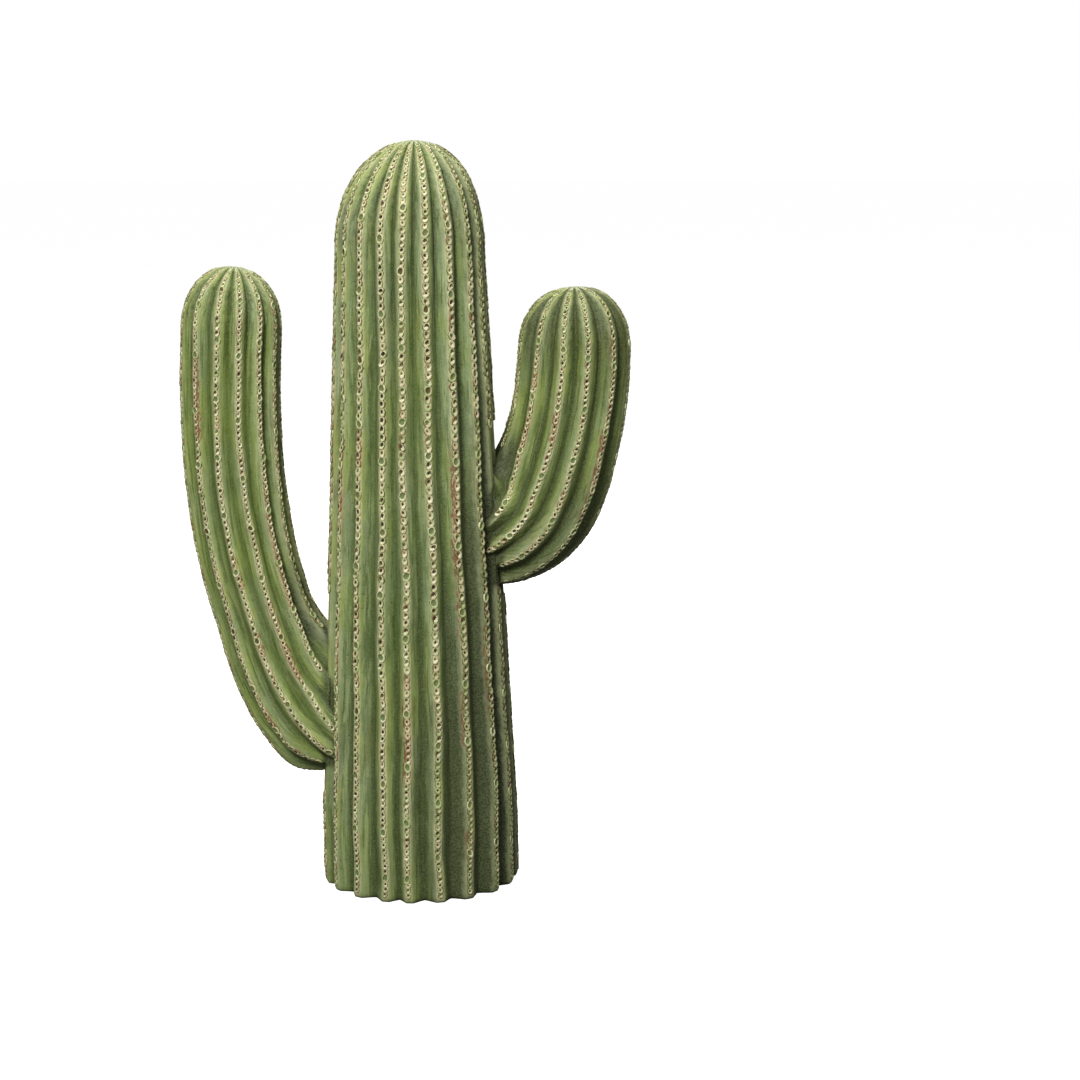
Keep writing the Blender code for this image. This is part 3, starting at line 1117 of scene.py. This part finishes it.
def skinMaterial(name, own):
    material, tree, shader = newMaterial(name)

    def pastBand(kind):
        edge = bandEdges[kind]
        return effect(tree, "wear", Gap=gap, Grain=grain, Near=own["bandHalf"] + edge["whole"],
                      Far=own["bandHalf"] + edge["end"], Break=edge["ragged"])

    grain = attribute(tree, "grain", "Vector")
    height = attribute(tree, "ribHeight")
    gap = attribute(tree, "crestGap")
    side = attribute(tree, "ribSide")
    paint = skinPaint
    fresh = patchesOf(tree, grain, "fresh", own["freshMiddle"])
    coolWhere = sums(tree, "MULTIPLY_ADD", attribute(tree, "cool"), own["coolDrift"])
    coolWhere.node.inputs[2].default_value = own["coolMiddle"]
    cool = patchesOf(tree, grain, "cool", coolWhere)
    result = overpaint(tree, paint["leaf"], paint["fresh"], fresh)
    result = coat(tree, result, paint["cool"], cool, cover["cool"])
    olive = patchesOf(tree, grain, "olive", 0.64)
    result = coat(tree, result, paint["olive"], olive, cover["olive"])
    for across, along, lightCover, darkCover in strokes:
        light = effect(tree, "streaks", Grain=grain, Across=across, Along=along, Middle=0.58,
                       Softness=0.04)
        result = coat(tree, result, paint["streakLight"], light, lightCover)
        dark = effect(tree, "streaks", Grain=grain, Across=across * darkSpacing[0],
                      Along=along * darkSpacing[1], Middle=0.58, Softness=0.04)
        result = coat(tree, result, paint["streakDark"], dark, darkCover)
    # The valley and groove coats are a dark wash that is partly painted shade, and the groove coat
    # climbs higher with the painted shade
    wide = effect(tree, "washAndShade", Height=height, Grain=grain, Low=-0.05, High=0.70, Break=0.35)
    dusk = attribute(tree, "dusk")
    result = coat(tree, result, paint["valley"], wide, cover["valley"])
    reach = sums(tree, "MULTIPLY", dusk, grooveReach["grows"])
    reach = sums(tree, "ADD", reach, grooveReach["start"])
    reach = sums(tree, "MINIMUM", reach, grooveReach["most"])
    narrow = effect(tree, "washAndShade", Height=height, Grain=grain, Low=0.0, High=reach, Break=0.25)
    deepest = sums(tree, "MINIMUM", dusk, cover["groove"])
    result = coat(tree, result, paint["groove"], narrow, deepest)
    # Painted shade: two darker tones where the shade amount is high
    for dark in ("dusk", "shade"):
        where = spanned(tree, dusk, *skinSpans[dark])
        result = coat(tree, result, paint[dark], where, cover[dark])
    grit = effect(tree, "patches", Place=grain, Scale=1000.0, Middle=0.5, Softness=0.12)
    result = coat(tree, result, paint["streakLight"], grit, cover["grit"])
    pits = effect(tree, "patches", Place=grain, Scale=760.0, Middle=0.58, Softness=0.08)
    result = coat(tree, result, paint["groove"], pits, cover["pits"])
    clearOfSeam = spanned(tree, attribute(tree, "seam"), *skinSpans["clearOfSeam"])
    result = overpaint(tree, result, own["tint"], 1.0, "MULTIPLY")
    # The pale strip beside the band is dry-brushed paint; its thicker coat on the left side is
    # partly a painted highlight
    toLeft = spanned(tree, side, *skinSpans["toLeft"])
    toRight = sums(tree, "SUBTRACT", 1.0, toLeft)
    beside = sums(tree, "MULTIPLY", pastBand("beside"), clearOfSeam)
    onLeft = sums(tree, "MULTIPLY", beside, toLeft)
    result = coat(tree, result, paint["besidePale"], onLeft, cover["paleLeft"])
    onRight = sums(tree, "MULTIPLY", beside, toRight)
    limes = sums(tree, "MULTIPLY", patchesOf(tree, grain, "lime", 0.50), onRight)
    result = coat(tree, result, paint["besidePale"], onRight, cover["paleRight"])
    result = coat(tree, result, paint["besideLime"], limes, cover["limeRight"])
    crest = sums(tree, "MULTIPLY", pastBand("crest"), clearOfSeam)
    rust = spanned(tree, attribute(tree, "rust"), *skinSpans["rust"])
    greens = patchesOf(tree, grain, "crestGreen", 0.5)
    crestTone = overpaint(tree, paint["crestCream"], paint["crestGreen"], greens)
    crestTone = overpaint(tree, crestTone, paint["crestPink"], rust)
    mottle = effect(tree, "patches", Place=grain, Scale=620.0, Middle=0.5, Softness=0.12)
    # Less of the cream band shows where there is painted shade
    crestCover = sums(tree, "MULTIPLY", spanned(tree, dusk, *skinSpans["crestInShade"]),
                      spanned(tree, mottle, *skinSpans["mottle"]))
    result = coat(tree, result, crestTone, crest, crestCover)
    rustLine = effect(tree, "streaks", Grain=grain, Across=900.0, Along=240.0, Middle=0.49,
                      Softness=0.07)
    stained = spanned(tree, attribute(tree, "rust"), *skinSpans["stained"])
    stained = sums(tree, "MULTIPLY", stained, pastBand("rust"))
    rustLine = sums(tree, "MULTIPLY", rustLine, stained)
    rustLine = sums(tree, "MULTIPLY", rustLine,
                    spanned(tree, side, -0.1, 0.3, own["rustLeft"], 1.05 - own["rustLeft"]))
    rustLine = sums(tree, "MULTIPLY", rustLine, clearOfSeam)
    result = coat(tree, result, paint["rust"], rustLine, cover["rustLine"])
    specks = effect(tree, "specks", Place=grain, Scale=190.0, Size=0.19, Cover=0.82)
    result = coat(tree, result, paint["speck"], specks, cover["specks"])
    tree.links.new(result, shader.inputs["Base Color"])
    brushed = effect(tree, "streaks", Grain=grain, Across=900.0, Along=45.0, Middle=0.5,
                     Softness=0.35)
    rough = spanned(tree, brushed, *skinSpans["roughness"])
    tree.links.new(rough, shader.inputs["Roughness"])
    pores = noise(tree, grain, 1500.0, 2.0)
    level = sums(tree, "ADD", sums(tree, "MULTIPLY", brushed, skinFinish["strokes"]),
                 sums(tree, "MULTIPLY", pores, skinFinish["pores"]))
    addBump(tree, shader, level, skinFinish)
    return material


ringTints = {
    "cream": colour(237, 230, 188),
    "pale": colour(219, 219, 170),
    "sand": colour(210, 200, 154),
    "moss": colour(182, 190, 130),
    "blush": colour(204, 182, 144),
    "rust": colour(152, 112, 80),
    "washGreen": colour(176, 182, 128),
    "washSand": colour(194, 186, 140),
    "washPink": colour(190, 168, 130),
    "dark": colour(54, 46, 27),
    "brown": colour(94, 78, 46),
    "umber": colour(140, 112, 74),
    "olive": colour(122, 126, 76),
    "floorGreen": colour(118, 132, 82),
}
paintNames = tuple(ringTints)

tintMixes = (
    # (what the ring has more of, than this much, and the chances of its rim, edge and skirt).
    # The first that fits is used.
    # Where the skin has much painted shade, the rings get darker tints, as painted shade
    ("dusk", 1.70, {"washSand": 0.4, "washGreen": 0.6}, {"washGreen": 0.3, "olive": 0.7},
     {"olive": 0.8, "brown": 0.2}),
    ("dusk", 1.25, {"sand": 0.40, "moss": 0.45, "pale": 0.15}, {"washGreen": 0.5, "olive": 0.5},
     {"olive": 0.7, "washGreen": 0.3}),
    ("rust", 0.90, {"blush": 0.30, "sand": 0.35, "cream": 0.35},
     {"rust": 0.20, "washPink": 0.40, "umber": 0.20, "sand": 0.20},
     {"rust": 0.45, "umber": 0.30, "washPink": 0.25}),
    ("rust", 0.35, {"blush": 0.15, "sand": 0.30, "cream": 0.35, "pale": 0.20},
     {"washPink": 0.28, "sand": 0.30, "moss": 0.24, "umber": 0.18},
     {"washPink": 0.25, "washSand": 0.25, "olive": 0.20, "umber": 0.30}),
    ("fresh", 0.60, {"moss": 0.35, "pale": 0.45, "sand": 0.20}, {"moss": 0.6, "washGreen": 0.4},
     {"washGreen": 0.7, "olive": 0.3}),
    ("dusk", -math.inf, {"cream": 0.44, "pale": 0.36, "sand": 0.16, "moss": 0.04},
     {"sand": 0.26, "moss": 0.26, "pale": 0.18, "washGreen": 0.16, "umber": 0.14},
     {"washGreen": 0.26, "washSand": 0.20, "olive": 0.32, "umber": 0.22}),
)


def oneOf(rng, chances):
    weights = np.array(list(chances.values()))
    return str(rng.choice(list(chances), p=weights / sum(chances.values())))


def pickTints(ring, rng):
    # One tint for each zone: skirt, edge, rim, wall, lip and floor. The rim and lip of the lower
    # right are lighter, as a painted highlight, and the edge and wall darker, as painted shade; a
    # hole's floor is a dark wash, partly painted shade
    rims, edges, skirts = next(mix for fact, least, *mix in tintMixes if ring[fact] > least)
    rim = oneOf(rng, rims)
    bold = ring["bold"]
    if ring["large"]:
        rim = oneOf(rng, {"pale": 0.45, "moss": 0.30, "sand": 0.25})
        edge = oneOf(rng, {rim: 0.5, "pale": 0.2, "moss": 0.3})
        wall = oneOf(rng, {"olive": 0.6, "washGreen": 0.25, "brown": 0.15})
        lip = oneOf(rng, {"moss": 0.6, "pale": 0.4})
        floor = oneOf(rng, {"floorGreen": 0.50, "olive": 0.35, "brown": 0.15})
    else:
        edge = oneOf(rng, edges)
        wall = oneOf(rng, {"brown": 0.15 + 0.2 * bold, "olive": 0.40, "washSand": 0.45})
        lip = oneOf(rng, {rim: 0.7, "sand": 0.3})
        floor = oneOf(rng, {"dark": 0.15 + 0.7 * bold, "brown": 0.55, "olive": 0.5 - 0.45 * bold})
    return [oneOf(rng, skirts), edge, rim, wall, lip, floor]


ringFinish = {"roughness": (0.54, 0.70), "bump": 0.25, "bumpDepth": 0.0003, "specular": 0.35}


def plainPaint(name, tone):
    # A plain tone with a dry, uneven sheen and a fine grain
    material, tree, shader = newMaterial(name)
    shader.inputs["Base Color"].default_value = tone
    place = addNode(tree, "ShaderNodeTexCoord").outputs["Object"]
    uneven = effect(tree, "patches", Place=place, Scale=420.0, Middle=0.5, Softness=0.25)
    tree.links.new(spanned(tree, uneven, 0.0, 1.0, *ringFinish["roughness"]),
                   shader.inputs["Roughness"])
    addBump(tree, shader, uneven, ringFinish)
    return material


def ringsOn(stem, shape, lines, sheet, sizes, clear):
    seed = shape["ringSeed"]
    rings = layChain(lines, sheet, sizes, shape["boldRings"], seed, clear)
    for kind, isLarge in (("small_rings", False), ("large_rings", True)):
        chosen = [ring for ring in rings if ring["large"] == isLarge]
        form = ringModels["largeRing" if isLarge else "smallRing"]
        made = stampRings(stem + "_" + kind, form, chosen, seed + 2)
        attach(made, "root")
        print(stem, kind, len(chosen), "in", len(made.data.polygons), "faces")


def finishSkin(skin, material, slotName, *nodes):
    skin.data.materials.clear()
    skin.data.materials.append(material)
    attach(skin, "root")
    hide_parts(*nodes)


ringModels = {name: modelRing(name, form) for name, form in ringForms.items()}
ringPaints = {name: plainPaint("ring_" + name, tone) for name, tone in ringTints.items()}
print("rings modelled")

trunkSheet = layOut(trunkShape, trunkCourse(trunkShape), trunkShape["footRows"])
low = np.clip(1.0 - trunkSheet["rows"]["centre"][:, 2] / trunkShape["footRise"], 0.0, 1.0)
low[:trunkSheet["firstRow"]] = 1.0
inset = (1.0 - trunkShape["footInset"] * low ** 2)[:, None, None]
middles = trunkSheet["rows"]["centre"][:, None, :]
trunkSheet["points"] = middles + (trunkSheet["points"] - middles) * inset
armCourses = {"left_arm": armCourse(leftArmShape), "right_arm": armCourse(rightArmShape)}
# Painted shade on the trunk along its seams with the arms
for shape, course in zip((leftArmShape, rightArmShape), armCourses.values()):
    outer = trunkGap(course["centre"], trunkSheet, trunkShape) > meeting["seamStart"]
    centres = course["centre"][outer][::meeting["seamStep"]]
    radii = course["radius"][outer][::meeting["seamStep"]]
    for centre, radius in zip(centres, radii):
        away = np.linalg.norm(trunkSheet["points"] - centre, axis=2) - radius
        lower = np.clip((centre[2] - trunkSheet["points"][..., 2]) / radius, 0.0, 1.0)
        away = away + shape["tuckUnder"] * lower
        trunkSheet["seam"] = np.maximum(trunkSheet["seam"], seamAt(away))
trunkSkin = rollSkin("trunk_skin", trunkSheet)
roughen(trunkSkin)
trunkLines = crestLines(trunkSkin, trunkSheet)
print("trunk skin:", len(trunkSkin.data.polygons), "faces")

arms = {
    "left_arm": {"shape": leftArmShape, "slot": "left_arm_paint", "material": "leftArmSkin"},
    "right_arm": {"shape": rightArmShape, "slot": "right_arm_paint",
                  "material": "rightArmSkin"},
}
for armName, arm in arms.items():
    sheet = layOut(arm["shape"], armCourses[armName], arm["shape"]["rootRows"])
    meetTrunk(sheet, arm["shape"], trunkSheet)
    skin = rollSkin(armName + "_skin", sheet)
    roughen(skin)
    arm["sheet"] = sheet
    arm["lines"] = crestLines(skin, sheet)
    arm["skin"] = skin
    print(armName, "skin:", len(skin.data.polygons), "faces")

finishSkin(trunkSkin, skinMaterial("trunkSkinPaint", skins["trunkSkin"]), "trunk_paint", "trunk")
for armName, arm in arms.items():
    finishSkin(arm["skin"], skinMaterial(arm["material"] + "Paint", skins[arm["material"]]),
               arm["slot"], armName + "_elbow", armName + "_upright")
print("skins painted")


def outsideArms(point):
    for arm in arms.values():
        rows = arm["sheet"]["rows"]
        away = np.linalg.norm(rows["centre"] - point, axis=1) - rows["radius"]
        if away.min() < meeting["ringGap"]:
            return False
    return True


def outsideTrunkBy(gap):
    return lambda point: trunkGap(point, trunkSheet, trunkShape) > gap


ringsOn("trunk", trunkShape, trunkLines, trunkSheet, chain["trunk"], outsideArms)
for armName, arm in arms.items():
    ringsOn(armName, arm["shape"], arm["lines"], arm["sheet"], chain["arm"],
            outsideTrunkBy(arm["shape"]["bareGap"]))

studio = {
    "floorSize": 60.0,
    "floorDrop": 0.0003,  # keeps the floor from lying in one plane with the underside
    "floorGlow": 0.87,  # seen by the camera alone, so that the floor is pale but lights little
    "floorTones": (colour(234, 234, 233), colour(230, 230, 229)),
    "floorUnlit": (0.15, 0.15, 0.15, 1.0),  # what the floor gives back to the cactus
    "cameraPlace": (0.0902, -1.757, 0.5526),
    "cameraDown": 9.54,
    "lens": 80.0,
    "sensor": 36.0,
    "ambient": 0.15,
    "lights": {
        "key": {"place": (-0.46, -1.92, 1.50), "aim": (0.0, 0.0, 0.36), "size": 0.6,
                "power": 38.0},
        "side": {"place": (1.25, -1.05, 1.75), "aim": (0.0, 0.0, 0.40), "size": 0.7,
                 "power": 6.0},
        "top": {"place": (0.0, -0.1, 2.3), "aim": (0.0, 0.0, 0.3), "size": 1.2, "power": 22.0},
        "back": {"place": (0.0, 2.2, 1.5), "aim": (0.0, 0.0, 0.3), "size": 1.2, "power": 16.0},
    },
}


def splitByCamera(tree, unseen, seen, surface):
    # One shader for the camera and another for the light that falls on the cactus
    either = addNode(tree, "ShaderNodeMixShader")
    tree.links.new(addNode(tree, "ShaderNodeLightPath").outputs["Is Camera Ray"],
                   either.inputs["Fac"])
    tree.links.new(unseen.outputs[0], either.inputs[1])
    tree.links.new(seen.outputs[0], either.inputs[2])
    tree.links.new(either.outputs[0], surface)


def makeFloor():
    bpy.ops.object.select_all(action="DESELECT")
    bpy.ops.mesh.primitive_plane_add(size=studio["floorSize"],
                                     location=(0.0, 0.0, -studio["floorDrop"]))
    floor = bpy.context.object
    floor.name = "studio_floor"
    material, tree, shader = newMaterial("paleFloor")
    place = addNode(tree, "ShaderNodeTexCoord").outputs["Object"]
    uneven = effect(tree, "patches", Place=place, Scale=6.0, Middle=0.5, Softness=0.4)
    tree.links.new(overpaint(tree, *studio["floorTones"], uneven), shader.inputs["Base Color"])
    shader.inputs["Roughness"].default_value = 0.9
    shader.inputs["Specular IOR Level"].default_value = 0.1
    shader.inputs["Emission Color"].default_value = (1.0, 1.0, 1.0, 1.0)
    shader.inputs["Emission Strength"].default_value = studio["floorGlow"]
    dim = addNode(tree, "ShaderNodeBsdfDiffuse")
    dim.inputs["Color"].default_value = studio["floorUnlit"]
    splitByCamera(tree, dim, shader, tree.nodes["Material Output"].inputs["Surface"])
    floor.data.materials.append(material)


def makeLights():
    for name, settings in studio["lights"].items():
        lamp = bpy.data.lights.new(name, "AREA")
        lamp.shape = "DISK"
        lamp.size = settings["size"]
        lamp.energy = settings["power"]
        holder = bpy.data.objects.new(name, lamp)
        bpy.context.scene.collection.objects.link(holder)
        holder.location = settings["place"]
        aim = Vector(settings["aim"]) - Vector(settings["place"])
        holder.rotation_euler = aim.to_track_quat("-Z", "Y").to_euler()
    world = bpy.data.worlds.new("studio")
    bpy.context.scene.world = world
    world.use_nodes = True
    tree = world.node_tree
    tree.nodes.clear()
    lit = addNode(tree, "ShaderNodeBackground")
    lit.inputs["Strength"].default_value = studio["ambient"]
    seen = addNode(tree, "ShaderNodeBackground")
    seen.inputs["Strength"].default_value = 1.0
    for node in (lit, seen):
        node.inputs["Color"].default_value = (1.0, 1.0, 1.0, 1.0)
    splitByCamera(tree, lit, seen, addNode(tree, "ShaderNodeOutputWorld").inputs["Surface"])


def makeCamera():
    lens = bpy.data.cameras.new("camera")
    lens.lens = studio["lens"]
    lens.sensor_width = studio["sensor"]
    camera = bpy.data.objects.new("camera", lens)
    bpy.context.scene.collection.objects.link(camera)
    camera.location = studio["cameraPlace"]
    camera.rotation_euler = (math.radians(90.0 - studio["cameraDown"]), 0.0, 0.0)
    bpy.context.scene.camera = camera


makeFloor()
makeLights()
makeCamera()
bpy.context.scene.view_settings.view_transform = "Standard"
print("studio lit")
